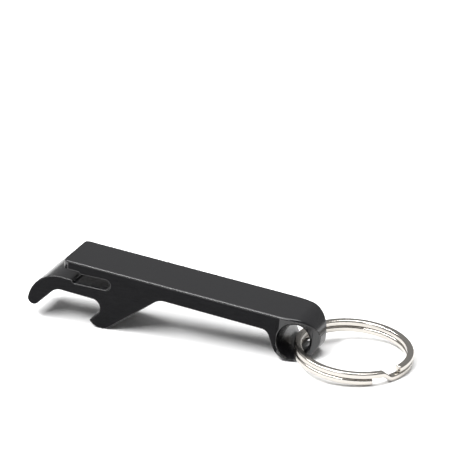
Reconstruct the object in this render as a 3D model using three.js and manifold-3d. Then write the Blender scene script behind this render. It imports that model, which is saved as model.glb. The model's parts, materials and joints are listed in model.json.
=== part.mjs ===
// Keychain bottle opener: one piece of aluminium, cut from an extruded bar, with a split ring in its eye.
// Millimetres, +Z up. The opener stands on its claw and its eye, and the ring lies out behind the eye.
import * as THREE from 'three';
import { mergeVertices } from 'three/addons/utils/BufferGeometryUtils.js';
import Module from 'manifold-3d';

// ---- driving dimensions -------------------------------------------------------------------------------------

const OPENER_WIDTH = 11.5; // across the bar, along Y

// The side outline of the bar, front to back with the flat top at 0, as rounds that straight runs join:
// x, z and radius. A radius above 0 is an outside round, one below 0 an inside round, and 0 a plain corner.
const EYE = { x: 52.95, z: -4.85, r: 4.85 };
const CLAW = { x: 9.65, z: -10.3, r: 3.37 };
const OUTLINE = [
  { x: 0.35, z: -0.45, r: 0.45 }, // plate, front top edge
  { x: 0.7, z: -1.2, r: 0.8 }, // plate, front bottom edge
  { x: 3.72, z: -2.0, r: 0 }, // step in the roof of the can-tab slot
  { x: 4.1, z: -2.47, r: 0 },
  { x: 10.05, z: -3.35, r: -1.17 }, // closed end of the slot
  { x: 3.07, z: -4.28, r: -0.6 }, // ledge in the floor of the slot
  { x: 2.46, z: -4.24, r: 0 },
  { x: -0.1, z: -11.8, r: 7.6 }, // back of the curled lip
  { x: -6.3, z: -10.95, r: 1.35 }, // end of the lip
  { x: 0.07, z: -10.3, r: -3.0 }, // inside of the lip
  { x: 7.4, z: -9.2, r: -1.83 }, // closed end of the mouth
  { x: 7.44, z: -12.41, r: 0.33 }, // tip of the claw
  CLAW,
  { x: 23.8, z: -6.95, r: -3.37 }, // relief where the claw meets the handle
  { x: 46.0, z: -5.6, r: -1.85 }, // fillet from the handle into the eye
  EYE,
];
const ARC_STEP = 9; // degrees of arc for each facet of the outline

// Seen from above, the plate has two small front corners, and the tail narrows in half an ellipse.
const PLATE_FRONT = -0.1; // front edge of the plate
const PLATE_HEIGHT = 3.2; // height of the cut at the front corners, which stops above the lip
const FRONT_CORNER = 1.4;
const TAIL_START = 49.3;
const TAIL_LENGTH = 8.8;

// The eye has a straight cross bore in the middle, and a wide countersink on each side, nearer the tail.
const BORE = { x: 52.9, z: -5.2, r: 3.0, halfLength: 3.0 };
const SINK = { x: 54.1, z: -5.1, r: 4.65 };
const SINK_OVERRUN = 0.6; // how far the countersink's cutter goes on past the side face
const BORE_OVERLAP = 0.2; // how far the straight bore's cutter reaches into the countersinks' cutters
const BORE_FACETS = 40;

// The split ring is one flattened wire in two turns that lie on each other, with a jog from one to the other.
const RING_OUTER_DIAMETER = 25.0;
const WIRE_RADIAL = 1.5;
const WIRE_AXIAL = 1.32;
const WIRE_ROUND = 0.42;
const TURN_GAP = 0.06; // clear space between the two turns
const RING_START_ANGLE = -50; // degrees from +X, where the lower turn starts
const LAYER_SWEEP = 338; // degrees of wire in each turn
const JOG_SWEEP = 12; // degrees in which the wire climbs from one turn to the other
const RING_STEPS = 116;
const RING_LEAN = 1.1; // degrees that the ring leans sideways, its -Y side down
const WIRE_IN_BORE = { x: 53.0, z: -6.23 }; // the wire in the middle of the bore, in the outline's frame

// ---- helpers ------------------------------------------------------------------------------------------------

const wasm = await Module();
wasm.setup();

function toSolid(geometry) {
  geometry.deleteAttribute('normal');
  geometry.deleteAttribute('uv');
  const merged = mergeVertices(geometry);
  return new wasm.Manifold(
    new wasm.Mesh({
      numProp: 3,
      vertProperties: new Float32Array(merged.attributes.position.array),
      triVerts: new Uint32Array(merged.index.array),
    }),
  );
}

function toGeometry(solid) {
  const mesh = solid.getMesh();
  const geometry = new THREE.BufferGeometry();
  geometry.setAttribute('position', new THREE.BufferAttribute(mesh.vertProperties, mesh.numProp));
  geometry.setIndex(new THREE.BufferAttribute(mesh.triVerts, 1));
  geometry.computeVertexNormals();
  return geometry;
}

// Direction in radians of the straight run from one round to the next, with the solid on its left.
function runDirection(from, to) {
  const between = Math.atan2(to.z - from.z, to.x - from.x);
  const distance = Math.hypot(to.x - from.x, to.z - from.z);
  return between - Math.asin((to.r - from.r) / distance);
}

// Points around a closed chain of rounds.
function chainPoints(rounds) {
  const points = [];
  rounds.forEach((round, i) => {
    const before = rounds[(i + rounds.length - 1) % rounds.length];
    const after = rounds[(i + 1) % rounds.length];
    if (round.r === 0) {
      points.push(new THREE.Vector2(round.x, round.z));
      return;
    }
    const start = runDirection(before, round);
    let turn = runDirection(round, after) - start;
    const fullTurn = 2 * Math.PI * Math.sign(round.r);
    while (turn * fullTurn < 0) turn += fullTurn;
    while (Math.abs(turn) > Math.abs(fullTurn)) turn -= fullTurn;
    const facets = Math.max(2, Math.ceil(THREE.MathUtils.radToDeg(Math.abs(turn)) / ARC_STEP));
    for (let k = 0; k <= facets; k += 1) {
      const direction = start + (turn * k) / facets;
      const x = round.x + round.r * Math.sin(direction);
      const z = round.z - round.r * Math.cos(direction);
      points.push(new THREE.Vector2(x, z));
    }
  });
  return points;
}

// ---- opener -------------------------------------------------------------------------------------------------

function barFromOutline() {
  const bar = new THREE.ExtrudeGeometry(new THREE.Shape(chainPoints(OUTLINE)), {
    depth: OPENER_WIDTH,
    bevelEnabled: false,
  });
  bar.translate(0, 0, -OPENER_WIDTH / 2);
  bar.rotateX(Math.PI / 2);
  return toSolid(bar);
}

function planCutter() {
  const half = OPENER_WIDTH / 2;
  const lipEnd = -8; // clear in front of the lip
  const above = 3; // clear above the flat top
  const below = 17; // clear below the claw
  const clear = 1; // clear of the sides and the front
  const plan = new THREE.Shape();
  plan.moveTo(lipEnd, -half);
  plan.lineTo(TAIL_START, -half);
  plan.absellipse(TAIL_START, 0, TAIL_LENGTH, half, -Math.PI / 2, Math.PI / 2, false, 0);
  plan.lineTo(lipEnd, half);
  const body = new THREE.ExtrudeGeometry(plan, {
    depth: above + below,
    bevelEnabled: false,
    curveSegments: 40,
  });
  body.translate(0, 0, -below);
  let cutter = toSolid(body);
  for (const side of [-1, 1]) {
    const corner = new THREE.Shape();
    corner.moveTo(PLATE_FRONT - clear, side * (half + clear));
    corner.lineTo(PLATE_FRONT - clear, side * (half - FRONT_CORNER));
    corner.lineTo(PLATE_FRONT, side * (half - FRONT_CORNER));
    corner.absarc(
      PLATE_FRONT + FRONT_CORNER,
      side * (half - FRONT_CORNER),
      FRONT_CORNER,
      Math.PI,
      Math.PI - (side * Math.PI) / 2,
      side > 0,
    );
    corner.lineTo(PLATE_FRONT + FRONT_CORNER, side * (half + clear));
    const cut = new THREE.ExtrudeGeometry(corner, {
      depth: PLATE_HEIGHT + clear,
      bevelEnabled: false,
      curveSegments: 8,
    });
    cut.translate(0, 0, -PLATE_HEIGHT);
    cutter = cutter.subtract(toSolid(cut));
  }
  return cutter;
}

function eyeCutter() {
  const bore = new THREE.CylinderGeometry(BORE.r, BORE.r, 2 * BORE.halfLength + BORE_OVERLAP, BORE_FACETS);
  bore.translate(BORE.x, 0, BORE.z);
  let cutter = toSolid(bore);
  const depth = OPENER_WIDTH / 2 - BORE.halfLength;
  const height = depth + SINK_OVERRUN;
  const grow = height / depth;
  const wide = BORE.r + (SINK.r - BORE.r) * grow;
  for (const side of [-1, 1]) {
    const sink = new THREE.CylinderGeometry(wide, BORE.r, height, BORE_FACETS);
    const lean = new THREE.Matrix4().set(
      1, (SINK.x - BORE.x) / depth, 0, BORE.x,
      0, side, 0, side * BORE.halfLength,
      0, (SINK.z - BORE.z) / depth, 1, BORE.z,
      0, 0, 0, 1,
    );
    sink.translate(0, height / 2, 0);
    sink.applyMatrix4(lean);
    if (side < 0) flipFaces(sink);
    cutter = cutter.add(toSolid(sink));
  }
  return cutter;
}

function flipFaces(geometry) {
  const index = geometry.index.array;
  for (let i = 0; i < index.length; i += 3) {
    const first = index[i];
    index[i] = index[i + 1];
    index[i + 1] = first;
  }
}

function openerBody() {
  const solid = barFromOutline().intersect(planCutter()).subtract(eyeCutter());
  const anodised = new THREE.MeshStandardMaterial({ color: 0x16171a, roughness: 0.28, metalness: 0.35 });
  const mesh = new THREE.Mesh(toGeometry(solid), anodised);
  mesh.name = 'opener_body';
  return mesh;
}

// ---- split ring ---------------------------------------------------------------------------------------------

// The middle line of the wire, in the ring's own plane, with the ring's centre at the origin.
class RingWire extends THREE.Curve {
  getPoint(t, target = new THREE.Vector3()) {
    const swept = t * (2 * LAYER_SWEEP + JOG_SWEEP);
    const climb = THREE.MathUtils.smoothstep(swept, LAYER_SWEEP, LAYER_SWEEP + JOG_SWEEP);
    const angle = THREE.MathUtils.degToRad(RING_START_ANGLE - swept);
    const radius = (RING_OUTER_DIAMETER - WIRE_RADIAL) / 2;
    const layer = (WIRE_AXIAL + TURN_GAP) * (climb - 0.5);
    return target.set(radius * Math.cos(angle), radius * Math.sin(angle), layer);
  }
}

function wireSection() {
  const halfAxial = WIRE_AXIAL / 2;
  const halfRadial = WIRE_RADIAL / 2;
  const section = new THREE.Shape();
  const corners = [
    [1, 1, 0],
    [-1, 1, 90],
    [-1, -1, 180],
    [1, -1, 270],
  ];
  for (const [alongAxis, outward, start] of corners) {
    const from = THREE.MathUtils.degToRad(start);
    section.absarc(
      alongAxis * (halfAxial - WIRE_ROUND),
      outward * (halfRadial - WIRE_ROUND),
      WIRE_ROUND,
      from,
      from + Math.PI / 2,
      false,
    );
  }
  section.closePath();
  return section;
}

function splitRing() {
  const wire = new THREE.ExtrudeGeometry(wireSection(), {
    steps: RING_STEPS,
    curveSegments: 1,
    extrudePath: new RingWire(),
  });
  const steel = new THREE.MeshStandardMaterial({ color: 0xc9c6c0, roughness: 0.24, metalness: 1 });
  const mesh = new THREE.Mesh(toGeometry(toSolid(wire)), steel);
  mesh.name = 'split_ring';
  return mesh;
}

// ---- assembly -----------------------------------------------------------------------------------------------

// The opener leans so that the claw and the eye both touch the surface below.
const lean = runDirection(CLAW, EYE);
const opener = new THREE.Group();
opener.rotation.y = lean;
opener.add(openerBody());
const surface = CLAW.z * Math.cos(lean) - CLAW.x * Math.sin(lean) - CLAW.r;
opener.position.z = -surface;

// The ring slopes from the bore down to the surface, where its far side rests.
const wireAtBore = new THREE.Vector3(WIRE_IN_BORE.x, 0, WIRE_IN_BORE.z);
wireAtBore.applyEuler(opener.rotation).add(opener.position);
const ringReach = RING_OUTER_DIAMETER - WIRE_RADIAL / 2;
const ringHalfHeight = WIRE_AXIAL + TURN_GAP / 2;
const cornerReach = Math.hypot(ringReach, ringHalfHeight);
const ringSlope = Math.asin(wireAtBore.z / cornerReach) - Math.atan2(ringHalfHeight, ringReach);
const ring = splitRing();
const toRingCentre = (RING_OUTER_DIAMETER - WIRE_RADIAL) / 2;
ring.rotation.set(THREE.MathUtils.degToRad(RING_LEAN), ringSlope, 0, 'YXZ');
ring.position.set(toRingCentre * Math.cos(ringSlope), 0, -toRingCentre * Math.sin(ringSlope)).add(wireAtBore);

// The origin is under the middle of the whole object, in the opener's plane of symmetry.
const keychainOpener = new THREE.Group();
keychainOpener.add(opener, ring);
keychainOpener.updateMatrixWorld(true);
const middle = new THREE.Box3().setFromObject(keychainOpener, true).getCenter(new THREE.Vector3());
keychainOpener.position.x = -middle.x;

export default keychainOpener;
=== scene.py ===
import json
import math

import bmesh
import bpy
from mathutils import Euler, Matrix, Vector


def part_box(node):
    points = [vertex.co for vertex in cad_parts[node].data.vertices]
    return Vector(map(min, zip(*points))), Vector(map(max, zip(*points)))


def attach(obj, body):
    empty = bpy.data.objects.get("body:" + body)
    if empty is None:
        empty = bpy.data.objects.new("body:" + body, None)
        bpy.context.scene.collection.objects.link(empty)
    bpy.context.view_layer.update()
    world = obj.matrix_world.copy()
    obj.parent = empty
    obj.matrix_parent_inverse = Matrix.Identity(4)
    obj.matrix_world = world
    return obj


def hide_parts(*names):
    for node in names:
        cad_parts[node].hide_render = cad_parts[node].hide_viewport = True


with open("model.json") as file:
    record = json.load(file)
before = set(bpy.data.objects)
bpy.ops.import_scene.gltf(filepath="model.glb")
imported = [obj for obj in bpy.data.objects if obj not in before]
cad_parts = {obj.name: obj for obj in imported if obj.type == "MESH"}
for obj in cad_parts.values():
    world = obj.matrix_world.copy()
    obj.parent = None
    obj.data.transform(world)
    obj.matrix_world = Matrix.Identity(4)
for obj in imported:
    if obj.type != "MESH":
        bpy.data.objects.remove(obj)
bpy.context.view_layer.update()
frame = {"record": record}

bl_info = {
    "name": "Keychain Bottle Opener",
    "version": (1, 0, 0),
    "blender": (4, 5, 0),
    "location": "3D View > Sidebar > Opener",
    "description": "Builds a black anodised keychain bottle opener, its split ring and a pale studio",
    "category": "Object",
}

MM = 0.001
MOUNTS = {mount["name"]: mount for mount in frame["record"]["mounts"]}
TOP_POINT = Vector(MOUNTS["top_face"]["pos_m"])
TOP_NORMAL = Vector(MOUNTS["top_face"]["axis"])
BAR_LOW, BAR_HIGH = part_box("opener_body")
RING_LOW, RING_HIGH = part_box("split_ring")


# ---- sizes and colours that a user would change --------------------------------------------------


class BarSizes(bpy.types.PropertyGroup):
    """Sizes of the opener that are not in the frame."""

    edge_round: bpy.props.FloatProperty(
        name="Top edge round",
        description="Width of the round along the edges of the flat top",
        default=0.5 * MM,
        min=0.1 * MM,
        unit="LENGTH",
        subtype="DISTANCE",
    )
    sawn_round: bpy.props.FloatProperty(
        name="Side edge round",
        description="Width of the round along the other edges of the sawn sides",
        default=0.2 * MM,
        min=0.05 * MM,
        unit="LENGTH",
        subtype="DISTANCE",
    )
    facet_angle: bpy.props.FloatProperty(
        name="Facet angle",
        description="Angle of each facet on the rounds of the side outline",
        default=math.radians(3.0),
        unit="ROTATION",
        subtype="ANGLE",
    )


class RingSizes(bpy.types.PropertyGroup):
    """Sizes of the split ring that are not in the frame."""

    outer_diameter: bpy.props.FloatProperty(
        name="Outer diameter",
        description="Outer diameter of the split ring",
        default=25.0 * MM,
        unit="LENGTH",
        subtype="DISTANCE",
    )
    wire_radial: bpy.props.FloatProperty(
        name="Wire width",
        description="Width of the wire, across the ring",
        default=1.5 * MM,
        unit="LENGTH",
        subtype="DISTANCE",
    )
    wire_axial: bpy.props.FloatProperty(
        name="Wire height",
        description="Height of the wire, along the ring's axis",
        default=1.32 * MM,
        unit="LENGTH",
        subtype="DISTANCE",
    )
    turn_gap: bpy.props.FloatProperty(
        name="Gap between turns",
        description="Clear space between the two turns of wire",
        default=0.06 * MM,
        unit="LENGTH",
        subtype="DISTANCE",
    )
    slope: bpy.props.FloatProperty(
        name="Slope",
        description="Angle that the ring slopes down from the eye to the floor",
        default=math.radians(5.03),
        unit="ROTATION",
        subtype="ANGLE",
    )
    lean: bpy.props.FloatProperty(
        name="Lean",
        description="Angle that the ring leans sideways",
        default=math.radians(1.1),
        unit="ROTATION",
        subtype="ANGLE",
    )


class Finishes(bpy.types.PropertyGroup):
    """Colours and gloss of the two metals."""

    anodised: bpy.props.FloatVectorProperty(
        name="Anodised black",
        description="Colour under the gloss of the anodised aluminium",
        default=(0.006, 0.006, 0.007),
        size=3,
        min=0.0,
        max=1.0,
        subtype="COLOR",
    )
    gloss_roughness: bpy.props.FloatProperty(
        name="Extruded roughness",
        description="Roughness of the smooth extruded faces",
        default=0.22,
        min=0.0,
        max=1.0,
        subtype="FACTOR",
    )
    sawn_roughness: bpy.props.FloatProperty(
        name="Sawn roughness",
        description="Roughness of the sawn side faces",
        default=0.5,
        min=0.0,
        max=1.0,
        subtype="FACTOR",
    )
    nickel: bpy.props.FloatVectorProperty(
        name="Nickel",
        description="Colour of the bright nickel on the split ring",
        default=(0.50, 0.475, 0.44),
        size=3,
        min=0.0,
        max=1.0,
        subtype="COLOR",
    )
    nickel_roughness: bpy.props.FloatProperty(
        name="Nickel roughness",
        description="Roughness of the bright nickel",
        default=0.16,
        min=0.0,
        max=1.0,
        subtype="FACTOR",
    )


class StudioSettings(bpy.types.PropertyGroup):
    """The pale floor, the soft lights and the camera."""

    floor_colour: bpy.props.FloatVectorProperty(
        name="Floor",
        description="Colour of the floor",
        default=(0.93, 0.93, 0.93),
        size=3,
        min=0.0,
        max=1.0,
        subtype="COLOR",
    )
    sky_back: bpy.props.FloatProperty(
        name="Room light behind",
        description="Brightness of the room behind and above the object",
        default=0.46,
        min=0.0,
    )
    sky_front: bpy.props.FloatProperty(
        name="Room light in front",
        description="Brightness of the room on the camera's side",
        default=0.2,
        min=0.0,
    )
    key_power: bpy.props.FloatProperty(
        name="Overhead softbox",
        description="Power of the large softbox overhead",
        default=7.0,
        min=0.0,
        unit="POWER",
    )
    strip_power: bpy.props.FloatProperty(
        name="Edge strip",
        description="Power of the strip light overhead, which draws the bright line along the near edge",
        default=14.0,
        min=0.0,
        unit="POWER",
    )
    camera_turn: bpy.props.FloatProperty(
        name="Camera turn",
        description="Angle of the camera round the object, from straight in front",
        default=math.radians(23.35),
        unit="ROTATION",
        subtype="ANGLE",
    )
    camera_height: bpy.props.FloatProperty(
        name="Camera elevation",
        description="Angle of the camera above the floor",
        default=math.radians(23.0),
        unit="ROTATION",
        subtype="ANGLE",
    )
    camera_distance: bpy.props.FloatProperty(
        name="Camera distance",
        description="Distance from the camera to the point that it looks at",
        default=748.4 * MM,
        unit="LENGTH",
        subtype="DISTANCE",
    )
    look_at: bpy.props.FloatVectorProperty(
        name="Look at",
        description="Point that the camera looks at",
        default=(0.9 * MM, 0.0, 26.0 * MM),
        size=3,
        unit="LENGTH",
        subtype="TRANSLATION",
    )
    focal_length: bpy.props.FloatProperty(
        name="Focal length",
        description="Focal length in millimetres, on a 36 mm sensor",
        default=288.0,
        min=1.0,
    )


# ---- the opener's side outline -------------------------------------------------------------------

# The outline lies in the bar's own frame, in millimetres: X back from the plate's front edge, Z up from
# the flat top. Rounds are joined by straight runs: x, z and radius. A radius above 0 is an outside
# round, one below 0 an inside round, and 0 a plain corner.
TOP_POINT_X = 25.0  # where the frame's point on the flat top lies along the bar
EYE = (52.95, -4.85, 4.85)
OUTLINE = [
    (0.35, -0.45, 0.45),  # plate, front top edge
    (0.7, -1.2, 0.8),  # plate, front bottom edge
    (3.72, -2.0, 0.0),  # step in the roof of the can-tab slot
    (4.1, -2.47, 0.0),
    (10.05, -3.35, -1.17),  # closed end of the slot
    (3.07, -4.28, -0.6),  # ledge in the floor of the slot
    (2.46, -4.24, 0.0),
    (-0.1, -11.8, 7.6),  # back of the curled lip
    (-6.3, -10.95, 1.35),  # end of the lip
    (0.07, -10.3, -3.0),  # inside of the lip
    (7.4, -9.2, -1.83),  # closed end of the mouth
    (7.44, -12.41, 0.33),  # tip of the claw
    (9.65, -10.3, 3.37),  # claw
    (23.8, -6.95, -3.37),  # relief where the claw meets the handle
    (46.0, -5.6, -1.85),  # fillet from the handle into the eye
    EYE,
]
FRONT = -0.1  # front of the plate
PLATE_BELOW = -3.2  # the plate's nose lies above this height, and the lip below it
FRONT_CORNER = 1.4  # rounding of the plate's front corners, seen from above
NOSE_END = FRONT + FRONT_CORNER + 0.4  # back of the rounded front corners
UNDER_NOSE = -0.5  # the corners' lower edges lie below this height
TOP_EDGE_DEPTH = -1.0  # the flat top's edges lie above this height
SHARP = math.radians(28.0)  # an edge that turns more than this is rounded
WELD = 0.01
OUTLINE_WELD = 0.002
TAIL_START = 49.3  # where the tail starts to narrow
TAIL_LENGTH = 8.8
TAIL_STRIPS = 26
CORNER_STRIPS = 8
BORE = (52.9, -5.2, 3.0)  # x, z and radius of the straight bore in the middle
BORE_HALF_LENGTH = 3.0
SINK = (54.1, -5.1, 4.65)  # x, z and radius of the countersink at the side face
SINK_OVERRUN = 0.6  # how far the countersink's cutter goes on past the side face
BORE_SEGMENTS = 96


def run_direction(before, after):
    """Direction of the straight run from one round to the next, with the metal on its left."""
    across = after[0] - before[0]
    up = after[1] - before[1]
    return math.atan2(up, across) - math.asin((after[2] - before[2]) / math.hypot(across, up))


def on_round(centre, direction):
    """Point where a run in this direction touches the round."""
    x, z, radius = centre
    return Vector((x + radius * math.sin(direction), 0.0, z - radius * math.cos(direction)))


def draw_outline(mesh, facet_angle):
    """Draws the closed outline: a run is one edge, and a round is the last point spun about its centre."""
    first = None
    last = None
    for index, this in enumerate(OUTLINE):
        before = OUTLINE[index - 1]
        after = OUTLINE[(index + 1) % len(OUTLINE)]
        x, z, radius = this
        start = run_direction(before, this) if radius else 0.0
        place = on_round(this, start)
        if last is None:
            last = mesh.verts.new(place)
            first = last
        else:
            last = bmesh.ops.extrude_vert_indiv(mesh, verts=[last])["verts"][0]
            last.co = place
        if radius:
            whole = math.copysign(2 * math.pi, radius)
            turn = math.fmod(run_direction(this, after) - start, 2 * math.pi)
            if turn * whole < 0:
                turn += whole
            steps = max(3, math.ceil(abs(turn) / facet_angle))
            spun = bmesh.ops.spin(
                mesh,
                geom=[last],
                cent=(x, 0.0, z),
                axis=(0.0, -1.0, 0.0),
                angle=turn,
                steps=steps,
            )
            last = [item for item in spun["geom_last"] if isinstance(item, bmesh.types.BMVert)][0]
    mesh.edges.new((last, first))
    bmesh.ops.remove_doubles(mesh, verts=mesh.verts[:], dist=OUTLINE_WELD)


def tail_half_width(x, half):
    """Half of the bar's width at x, where the tail narrows in half an ellipse."""
    along = min(max((x - TAIL_START) / TAIL_LENGTH, 0.0), 1.0)
    return half * math.sqrt(1.0 - along * along)


def corner_half_width(x, half):
    """Half of the plate's width at x, in its rounded front corners."""
    inward = FRONT_CORNER - min(x - FRONT, FRONT_CORNER)
    return half - FRONT_CORNER + math.sqrt(max(FRONT_CORNER**2 - inward**2, 0.0))


def cut_across(mesh, faces, x):
    """Cuts the given faces with a plane across the bar."""
    edges = {edge for face in faces for edge in face.edges}
    corners = {vert for face in faces for vert in face.verts}
    bmesh.ops.bisect_plane(
        mesh,
        geom=list(faces) + list(edges) + list(corners),
        dist=WELD,
        plane_co=(x, 0.0, 0.0),
        plane_no=(1.0, 0.0, 0.0),
    )


def shape_plan(mesh, half):
    """Narrows the tail and rounds the plate's front corners, seen from above."""
    for step in range(TAIL_STRIPS):
        x = TAIL_START + TAIL_LENGTH * math.sin(math.radians(90.0) * step / TAIL_STRIPS)
        if x < EYE[0] + EYE[2]:
            cut_across(mesh, mesh.faces[:], x)
    for step in range(1, CORNER_STRIPS + 1):
        x = FRONT + FRONT_CORNER * (1.0 - math.cos(math.radians(90.0) * step / CORNER_STRIPS))
        cut_across(mesh, [face for face in mesh.faces if face.calc_center_median().x > -2.0], x)
    for vert in mesh.verts:
        side = math.copysign(1.0, vert.co.y)
        if vert.co.x > TAIL_START:
            vert.co.y = side * tail_half_width(vert.co.x, half)
        elif vert.co.z > PLATE_BELOW and vert.co.x < FRONT + FRONT_CORNER:
            vert.co.y = side * corner_half_width(vert.co.x, half)


def mesh_object(name, mesh):
    """A new object in the scene that holds a finished bmesh."""
    data = bpy.data.meshes.new(name)
    mesh.to_mesh(data)
    mesh.free()
    piece = bpy.data.objects.new(name, data)
    bpy.context.scene.collection.objects.link(piece)
    return piece


def bore_cutter(half):
    """The shape that the bore and its two countersinks take out of the eye."""
    mesh = bmesh.new()
    facing = Matrix.Rotation(math.radians(90.0), 4, "X")
    x, z, radius = BORE
    depth = half - BORE_HALF_LENGTH
    reach = (depth + SINK_OVERRUN) / depth
    wide = radius + (SINK[2] - radius) * reach
    made = bmesh.ops.create_circle(
        mesh,
        cap_ends=False,
        radius=radius,
        segments=BORE_SEGMENTS,
        matrix=Matrix.Translation((x, -BORE_HALF_LENGTH, z)) @ facing,
    )
    near = list({edge for vert in made["verts"] for edge in vert.link_edges})
    far = extrude_ring(mesh, near, Matrix.Translation((0.0, 2.0 * BORE_HALF_LENGTH, 0.0)))
    for ring, side in ((near, -1.0), (far, 1.0)):
        centre = Vector((x, side * BORE_HALF_LENGTH, z))
        outward = Vector(((SINK[0] - x) * reach, side * (depth + SINK_OVERRUN), (SINK[1] - z) * reach))
        widen = Matrix.Scale(wide / radius, 4)
        grow = Matrix.Translation(centre + outward) @ widen @ Matrix.Translation(-centre)
        rim = extrude_ring(mesh, ring, grow)
        bmesh.ops.edgeloop_fill(mesh, edges=rim)
    bmesh.ops.recalc_face_normals(mesh, faces=mesh.faces[:])
    return mesh_object("bore_cutter", mesh)


def extrude_ring(mesh, edges, move):
    """Extrudes a ring of edges, moves the new ring, and returns its edges."""
    made = bmesh.ops.extrude_edge_only(mesh, edges=edges)["geom"]
    verts = [item for item in made if isinstance(item, bmesh.types.BMVert)]
    bmesh.ops.transform(mesh, matrix=move, verts=verts)
    ring = set(verts)
    return [
        item
        for item in made
        if isinstance(item, bmesh.types.BMEdge) and item.verts[0] in ring and item.verts[1] in ring
    ]


def apply_modifiers(piece):
    """Makes what the modifiers show the piece's own mesh."""
    seen = piece.evaluated_get(bpy.context.evaluated_depsgraph_get())
    finished = bpy.data.meshes.new_from_object(seen)
    piece.modifiers.clear()
    worn_out = piece.data
    piece.data = finished
    finished.name = piece.name
    bpy.data.meshes.remove(worn_out)


def cut_bore(piece, half):
    """Cuts the bore and its countersinks."""
    cutter = bore_cutter(half)
    cut = piece.modifiers.new("bore", "BOOLEAN")
    cut.operation = "DIFFERENCE"
    cut.solver = "EXACT"
    cut.object = cutter
    apply_modifiers(piece)
    used = cutter.data
    bpy.data.objects.remove(cutter)
    bpy.data.meshes.remove(used)


def top_edge_share(edge):
    """1 on the edges of the flat top, falling to 0 down the eye, and 0 at the plate's rounded front."""
    height = min(vert.co.z for vert in edge.verts)
    x = sum(vert.co.x for vert in edge.verts) / 2.0
    if x < NOSE_END or (x < TAIL_START and height < TOP_EDGE_DEPTH):
        return 0.0
    return min(max(1.0 + height / 3.0, 0.0), 1.0)


def under_the_nose(edge):
    """True for the edges under the plate's rounded front corners, which stay sharp."""
    return all(
        vert.co.x < NOSE_END and PLATE_BELOW < vert.co.z < UNDER_NOSE for vert in edge.verts
    )


def round_edges(piece, sizes):
    """Rounds every sharp edge, the edges of the flat top the most."""
    mesh = bmesh.new()
    mesh.from_mesh(piece.data)
    bmesh.ops.remove_doubles(mesh, verts=mesh.verts[:], dist=WELD)
    bmesh.ops.dissolve_degenerate(mesh, edges=mesh.edges[:], dist=WELD)
    weight = mesh.edges.layers.float.new("bevel_weight_edge")
    least = sizes.sawn_round / sizes.edge_round
    for edge in mesh.edges:
        if len(edge.link_faces) == 2 and edge.calc_face_angle(0.0) > SHARP:
            if under_the_nose(edge):
                continue
            inside = edge.calc_face_angle_signed(0.0) < 0.0
            share = 0.0 if inside else top_edge_share(edge)
            edge[weight] = least + (1.0 - least) * share
    mesh.to_mesh(piece.data)
    mesh.free()
    bevel = piece.modifiers.new("edges", "BEVEL")
    bevel.limit_method = "WEIGHT"
    bevel.width = sizes.edge_round / MM
    bevel.segments = 5
    bevel.profile = 0.5
    bevel.use_clamp_overlap = False
    bevel.miter_outer = "MITER_SHARP"
    bevel.loop_slide = True
    apply_modifiers(piece)


def build_bar(sizes):
    """The whole opener: outline, plan, bore and edges, in millimetres in the bar's own frame."""
    half = (BAR_HIGH.y - BAR_LOW.y) / 2.0 / MM
    mesh = bmesh.new()
    draw_outline(mesh, sizes.facet_angle)
    side = bmesh.ops.contextual_create(mesh, geom=mesh.edges[:])["faces"]
    bmesh.ops.translate(mesh, vec=(0.0, -half, 0.0), verts=mesh.verts[:])
    moved = bmesh.ops.extrude_face_region(mesh, geom=side, use_keep_orig=True)["geom"]
    far = [item for item in moved if isinstance(item, bmesh.types.BMVert)]
    bmesh.ops.translate(mesh, vec=(0.0, 2.0 * half, 0.0), verts=far)
    bmesh.ops.recalc_face_normals(mesh, faces=mesh.faces[:])
    shape_plan(mesh, half)
    piece = mesh_object("opener_bar", mesh)
    cut_bore(piece, half)
    round_edges(piece, sizes)
    return piece


def bar_place():
    """Where the bar's own frame stands in the row frame, by a point on the flat top and its normal."""
    lean = math.atan2(TOP_NORMAL.x, TOP_NORMAL.z)
    turn = Matrix.Rotation(lean, 4, "Y")
    back = turn @ Vector((TOP_POINT_X * MM, 0.0, 0.0))
    return Matrix.Translation(TOP_POINT - back) @ turn @ Matrix.Scale(MM, 4)


# ---- the split ring ------------------------------------------------------------------------------

RING_START_ANGLE = -50.0  # degrees from +X, where the lower turn starts
LAYER_SWEEP = 338.0  # degrees of wire in each turn
JOG_SWEEP = 12.0  # degrees in which the wire climbs from one turn to the other
LAYER_STEPS = 260
JOG_STEPS = 16
WIRE_ROUND = 0.42 * MM
CUT_END_ROUND = 0.12 * MM
CUT_END_ANGLE = math.radians(60.0)  # only the rims of the wire's cut ends turn more than this


def wire_section(mesh, sizes):
    """The wire's section at the start of the lower turn: a rounded oblong that stands across the wire."""
    radius = (sizes.outer_diameter - sizes.wire_radial) / 2.0
    oblong = Matrix.Diagonal((sizes.wire_radial, sizes.wire_axial, 1.0, 1.0))
    upright = Matrix.Rotation(math.radians(90.0), 4, "X")
    layer = -(sizes.wire_axial + sizes.turn_gap) / 2.0
    place = Matrix.Translation((radius, 0.0, layer)) @ upright @ oblong
    turn = Matrix.Rotation(math.radians(RING_START_ANGLE), 4, "Z")
    made = bmesh.ops.create_grid(mesh, x_segments=1, y_segments=1, size=0.5, matrix=turn @ place)
    bmesh.ops.bevel(
        mesh,
        geom=made["verts"],
        offset=WIRE_ROUND,
        offset_type="OFFSET",
        segments=6,
        profile=0.5,
        affect="VERTICES",
        clamp_overlap=False,
        material=-1,
    )
    return mesh.faces[:]


def sweep(mesh, geom, degrees, climb, steps):
    """Spins the wire's end on round the ring, climbing along the axis, and returns the new end."""
    spun = bmesh.ops.spin(
        mesh,
        geom=geom,
        cent=(0.0, 0.0, 0.0),
        axis=(0.0, 0.0, 1.0),
        dvec=(0.0, 0.0, climb / steps),
        angle=-math.radians(degrees),
        steps=steps,
    )
    return spun["geom_last"]


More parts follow.
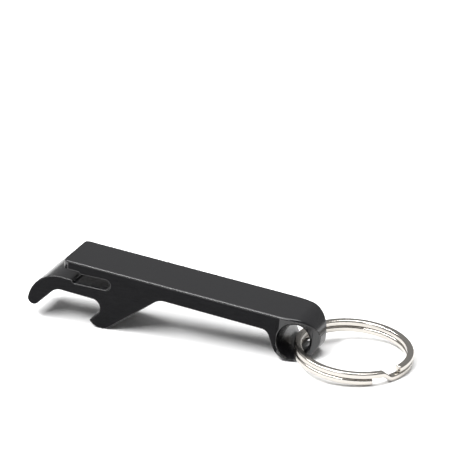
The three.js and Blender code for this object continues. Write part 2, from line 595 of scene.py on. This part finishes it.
def build_ring(sizes):
    """The split ring: one wire swept round twice, with a smooth jog between the turns."""
    mesh = bmesh.new()
    end = wire_section(mesh, sizes)
    rise = sizes.wire_axial + sizes.turn_gap
    end = sweep(mesh, end, LAYER_SWEEP, 0.0, LAYER_STEPS)
    height = 0.0
    for step in range(1, JOG_STEPS + 1):
        share = step / JOG_STEPS
        reached = rise * share * share * (3.0 - 2.0 * share)
        end = sweep(mesh, end, JOG_SWEEP / JOG_STEPS, reached - height, 1)
        height = reached
    end = sweep(mesh, end, LAYER_SWEEP, 0.0, LAYER_STEPS)
    bmesh.ops.remove_doubles(mesh, verts=mesh.verts[:], dist=0.001 * MM)
    bmesh.ops.recalc_face_normals(mesh, faces=mesh.faces[:])
    rims = [edge for edge in mesh.edges if edge.calc_face_angle(0.0) > CUT_END_ANGLE]
    bmesh.ops.bevel(
        mesh,
        geom=rims,
        offset=CUT_END_ROUND,
        offset_type="OFFSET",
        segments=3,
        profile=0.5,
        affect="EDGES",
        clamp_overlap=True,
        material=-1,
    )
    return mesh_object("split_ring_wire", mesh)


def ring_place(sizes):
    """Where the ring's own frame stands: in the middle of its box, sloping down and leaning sideways."""
    centre = (RING_LOW + RING_HIGH) / 2.0
    return Matrix.Translation(centre) @ Euler((sizes.lean, sizes.slope, 0.0), "YXZ").to_matrix().to_4x4()


# ---- materials -----------------------------------------------------------------------------------


def new_material(name):
    """An empty node material with its shader, output and object coordinates."""
    material = bpy.data.materials.new(name)
    material.use_nodes = True
    nodes = material.node_tree.nodes
    nodes.clear()
    output = nodes.new("ShaderNodeOutputMaterial")
    shader = nodes.new("ShaderNodeBsdfPrincipled")
    place = nodes.new("ShaderNodeTexCoord")
    material.node_tree.links.new(shader.outputs["BSDF"], output.inputs["Surface"])
    return material, shader, place


def add_node(material, kind, values=None, links=None):
    """Adds a node, sets the values of its inputs and attributes, and links its inputs."""
    node = material.node_tree.nodes.new(kind)
    for key, value in (values or {}).items():
        if isinstance(key, str) and key not in node.inputs:
            setattr(node, key, value)
        else:
            node.inputs[key].default_value = value
    for key, socket in (links or {}).items():
        material.node_tree.links.new(socket, node.inputs[key])
    return node


def stretched(material, place, scale, turn=(0.0, 0.0, 0.0)):
    """Object coordinates in millimetres, stretched and turned."""
    mapping = add_node(
        material,
        "ShaderNodeMapping",
        {"Scale": tuple(value / MM for value in scale), "Rotation": turn},
        {"Vector": place.outputs["Object"]},
    )
    return mapping.outputs["Vector"]


def spread(material, socket, low, high):
    """Turns a 0 to 1 pattern into a range of values."""
    node = add_node(
        material,
        "ShaderNodeMapRange",
        {"From Min": 0.3, "From Max": 0.7, "To Min": low, "To Max": high},
        {"Value": socket},
    )
    return node.outputs["Result"]


def anodised_gloss(finishes):
    """Black anodised extruded aluminium: smooth, with faint lines along the extrusion and a fine grain."""
    material, shader, place = new_material("black_anodised_gloss")
    links = material.node_tree.links
    lines = add_node(
        material,
        "ShaderNodeTexNoise",
        {"Scale": 1.0, "Detail": 3.0, "Roughness": 0.6},
        {"Vector": stretched(material, place, (2.2, 0.05, 2.2))},
    )
    grain = add_node(
        material,
        "ShaderNodeTexNoise",
        {"Scale": 1.0, "Detail": 2.0, "Roughness": 0.55},
        {"Vector": stretched(material, place, (9.0, 9.0, 9.0))},
    )
    wear = add_node(
        material,
        "ShaderNodeTexNoise",
        {"Scale": 1.0, "Detail": 4.0, "Roughness": 0.6},
        {"Vector": stretched(material, place, (0.12, 0.2, 0.2))},
    )
    rough = add_node(
        material,
        "ShaderNodeMath",
        {"operation": "ADD", 1: 0.0},
        {0: spread(material, lines.outputs["Fac"], -0.02, 0.02)},
    )
    links.new(
        spread(
            material,
            wear.outputs["Fac"],
            finishes.gloss_roughness - 0.02,
            finishes.gloss_roughness + 0.03,
        ),
        rough.inputs[1],
    )
    links.new(rough.outputs["Value"], shader.inputs["Roughness"])
    bump = add_node(
        material,
        "ShaderNodeBump",
        {"Strength": 0.12, "Distance": 0.006 * MM},
        {"Height": grain.outputs["Fac"]},
    )
    links.new(bump.outputs["Normal"], shader.inputs["Normal"])
    shader.inputs["Base Color"].default_value = (*finishes.anodised, 1.0)
    shader.inputs["IOR"].default_value = 1.55
    return material


SAWN_SHADE = 0.55  # how dark the sawn face is between its streaks, as a share of the anodised black
SAWN_STREAK = (0.010, 0.010, 0.011, 1.0)  # colour of the saw's streaks


def anodised_sawn(finishes):
    """The sawn side faces: darker and duller, with the saw's fine slanting grain under the anodising."""
    material, shader, place = new_material("black_anodised_sawn")
    links = material.node_tree.links
    streaks = add_node(
        material,
        "ShaderNodeTexNoise",
        {"Scale": 1.0, "Detail": 5.0, "Roughness": 0.65},
        {"Vector": stretched(material, place, (0.35, 1.0, 3.0), (0.0, math.radians(-38.0), 0.0))},
    )
    speckle = add_node(
        material,
        "ShaderNodeTexNoise",
        {"Scale": 1.0, "Detail": 4.0, "Roughness": 0.7},
        {"Vector": stretched(material, place, (2.6, 2.6, 2.6))},
    )
    both = add_node(
        material,
        "ShaderNodeMix",
        {"data_type": "FLOAT", "Factor": 0.5},
        {"A": streaks.outputs["Fac"], "B": speckle.outputs["Fac"]},
    )
    tone = add_node(
        material,
        "ShaderNodeMixRGB",
        {
            "Color1": (*(value * SAWN_SHADE for value in finishes.anodised), 1.0),
            "Color2": SAWN_STREAK,
        },
        {"Fac": spread(material, both.outputs["Result"], 0.0, 1.0)},
    )
    links.new(tone.outputs["Color"], shader.inputs["Base Color"])
    links.new(
        spread(
            material,
            both.outputs["Result"],
            finishes.sawn_roughness + 0.08,
            finishes.sawn_roughness - 0.08,
        ),
        shader.inputs["Roughness"],
    )
    bump = add_node(
        material,
        "ShaderNodeBump",
        {"Strength": 0.35, "Distance": 0.02 * MM},
        {"Height": both.outputs["Result"]},
    )
    links.new(bump.outputs["Normal"], shader.inputs["Normal"])
    shader.inputs["Specular IOR Level"].default_value = 0.06
    return material


def bright_nickel(finishes):
    """Bright nickel on spring steel: warm silver, with a faint cloud in its roughness and a fine pitting
    bump.
    """
    material, shader, place = new_material("bright_nickel")
    links = material.node_tree.links
    cloud = add_node(
        material,
        "ShaderNodeTexNoise",
        {"Scale": 1.0, "Detail": 4.0, "Roughness": 0.6},
        {"Vector": stretched(material, place, (0.9, 0.9, 0.9))},
    )
    links.new(
        spread(
            material,
            cloud.outputs["Fac"],
            finishes.nickel_roughness - 0.03,
            finishes.nickel_roughness + 0.06,
        ),
        shader.inputs["Roughness"],
    )
    pitting = add_node(
        material,
        "ShaderNodeTexNoise",
        {"Scale": 1.0, "Detail": 3.0, "Roughness": 0.6},
        {"Vector": stretched(material, place, (3.5, 3.5, 3.5))},
    )
    bump = add_node(
        material,
        "ShaderNodeBump",
        {"Strength": 0.2, "Distance": 0.01 * MM},
        {"Height": pitting.outputs["Fac"]},
    )
    links.new(bump.outputs["Normal"], shader.inputs["Normal"])
    shader.inputs["Base Color"].default_value = (*finishes.nickel, 1.0)
    shader.inputs["Metallic"].default_value = 1.0
    return material


def floor_paper(settings):
    """Pale matt paper."""
    material, shader, _ = new_material("floor_paper")
    shader.inputs["Base Color"].default_value = (*settings.floor_colour, 1.0)
    shader.inputs["Roughness"].default_value = 0.9
    shader.inputs["Specular IOR Level"].default_value = 0.1
    return material


# ---- operators -----------------------------------------------------------------------------------


def finish_piece(piece, place, materials):
    """Puts a piece's place into its mesh, shades it smoothly and gives it its materials."""
    piece.data.transform(place)
    for polygon in piece.data.polygons:
        polygon.use_smooth = True
    for material in materials:
        piece.data.materials.append(material)


class OBJECT_OT_opener_bar(bpy.types.Operator):
    """Builds the one-piece opener and finishes it in black anodising"""

    bl_idname = "object.opener_bar"
    bl_label = "Build Opener"

    def execute(self, context):
        scene = context.scene
        bar = build_bar(scene.opener_bar)
        place = bar_place()
        finishes = scene.opener_finishes
        finish_piece(bar, place, [anodised_gloss(finishes), anodised_sawn(finishes)])
        half = (BAR_HIGH.y - BAR_LOW.y) / 2.0
        for polygon in bar.data.polygons:
            flat_side = abs(polygon.normal.y) > 0.999 and abs(abs(polygon.center.y) - half) < 0.01 * MM
            polygon.material_index = 1 if flat_side else 0
        normals = bar.modifiers.new("flat faces", "WEIGHTED_NORMAL")
        normals.weight = 90
        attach(bar, "opener")
        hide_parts("opener_body")
        return {"FINISHED"}


class OBJECT_OT_opener_split_ring(bpy.types.Operator):
    """Builds the two-turn split ring and finishes it in bright nickel"""

    bl_idname = "object.opener_split_ring"
    bl_label = "Build Split Ring"

    def execute(self, context):
        scene = context.scene
        ring = build_ring(scene.opener_ring)
        finish_piece(ring, ring_place(scene.opener_ring), [bright_nickel(scene.opener_finishes)])
        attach(ring, "ring")
        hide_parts("split_ring")
        return {"FINISHED"}


class OBJECT_OT_opener_studio(bpy.types.Operator):
    """Sets up the pale floor, the soft lights, the room and the camera"""

    bl_idname = "object.opener_studio"
    bl_label = "Build Studio"

    def execute(self, context):
        settings = context.scene.opener_studio
        build_floor(settings)
        build_room(context.scene, settings)
        area_light("overhead_softbox", (0.05, 0.12, 0.9), (0.0, 0.0, 0.0), (0.7, 0.5), settings.key_power)
        area_light("edge_strip", (-0.34, -0.36, 0.78), (0.0, 0.0, 0.01), (1.1, 0.14), settings.strip_power)
        place_camera(context.scene, settings)
        return {"FINISHED"}


def build_floor(settings):
    """A wide flat floor under the object."""
    mesh = bmesh.new()
    bmesh.ops.create_grid(mesh, x_segments=1, y_segments=1, size=4.0)
    floor = mesh_object("floor", mesh)
    floor.data.materials.append(floor_paper(settings))


def build_room(scene, settings):
    """Soft light from the room: brighter behind and above, and dimmer on the camera's side."""
    room = bpy.data.worlds.new("room")
    room.use_nodes = True
    scene.world = room
    nodes = room.node_tree.nodes
    links = room.node_tree.links
    nodes.clear()
    output = nodes.new("ShaderNodeOutputWorld")
    light = nodes.new("ShaderNodeBackground")
    place = nodes.new("ShaderNodeTexCoord")
    split = nodes.new("ShaderNodeSeparateXYZ")
    blend = nodes.new("ShaderNodeMapRange")
    blend.interpolation_type = "SMOOTHSTEP"
    blend.inputs["From Min"].default_value = -0.9
    blend.inputs["From Max"].default_value = 0.3
    blend.inputs["To Min"].default_value = settings.sky_front
    blend.inputs["To Max"].default_value = settings.sky_back
    links.new(place.outputs["Generated"], split.inputs["Vector"])
    links.new(split.outputs["Y"], blend.inputs["Value"])
    links.new(blend.outputs["Result"], light.inputs["Strength"])
    links.new(light.outputs["Background"], output.inputs["Surface"])


def area_light(name, place, aim, size, power):
    """A rectangular softbox at a place, facing a point."""
    data = bpy.data.lights.new(name, "AREA")
    data.shape = "RECTANGLE"
    data.size, data.size_y = size
    data.energy = power
    light = bpy.data.objects.new(name, data)
    light.location = place
    light.rotation_euler = (Vector(aim) - Vector(place)).to_track_quat("-Z", "Y").to_euler()
    bpy.context.scene.collection.objects.link(light)


def place_camera(scene, settings):
    """The camera, by its turn, elevation and distance from the point that it looks at."""
    level = math.cos(settings.camera_height)
    outward = Vector(
        (
            math.sin(settings.camera_turn) * level,
            -math.cos(settings.camera_turn) * level,
            math.sin(settings.camera_height),
        )
    )
    data = bpy.data.cameras.new("camera")
    data.lens = settings.focal_length
    data.sensor_width = 36.0
    data.clip_start = 0.01
    data.clip_end = 20.0
    camera = bpy.data.objects.new("camera", data)
    camera.location = Vector(settings.look_at) + outward * settings.camera_distance
    camera.rotation_euler = (-outward).to_track_quat("-Z", "Y").to_euler()
    scene.collection.objects.link(camera)
    scene.camera = camera
    scene.view_settings.view_transform = "Standard"


class VIEW3D_PT_opener(bpy.types.Panel):
    """Lists the opener's pieces and the studio"""

    bl_idname = "VIEW3D_PT_opener"
    bl_label = "Keychain Opener"
    bl_space_type = "VIEW_3D"
    bl_region_type = "UI"
    bl_category = "Opener"

    def draw(self, context):
        layout = self.layout
        scene = context.scene
        for operator, group in (
            (OBJECT_OT_opener_bar, scene.opener_bar),
            (OBJECT_OT_opener_split_ring, scene.opener_ring),
            (OBJECT_OT_opener_studio, scene.opener_studio),
        ):
            box = layout.box()
            for name in group.__annotations__:
                box.prop(group, name)
            box.operator(operator.bl_idname)
        box = layout.box()
        for name in Finishes.__annotations__:
            box.prop(scene.opener_finishes, name)


GROUPS = {
    "opener_bar": BarSizes,
    "opener_ring": RingSizes,
    "opener_finishes": Finishes,
    "opener_studio": StudioSettings,
}
OPERATORS = (OBJECT_OT_opener_studio, OBJECT_OT_opener_bar, OBJECT_OT_opener_split_ring)


def register():
    for name, group in GROUPS.items():
        bpy.utils.register_class(group)
        setattr(bpy.types.Scene, name, bpy.props.PointerProperty(type=group))
    for operator in OPERATORS:
        bpy.utils.register_class(operator)
    bpy.utils.register_class(VIEW3D_PT_opener)


def unregister():
    bpy.utils.unregister_class(VIEW3D_PT_opener)
    for operator in reversed(OPERATORS):
        bpy.utils.unregister_class(operator)
    for name, group in reversed(GROUPS.items()):
        delattr(bpy.types.Scene, name)
        bpy.utils.unregister_class(group)


def main():
    register()
    bpy.ops.object.opener_studio()
    bpy.ops.object.opener_bar()
    bpy.ops.object.opener_split_ring()


if __name__ == "__main__":
    main()
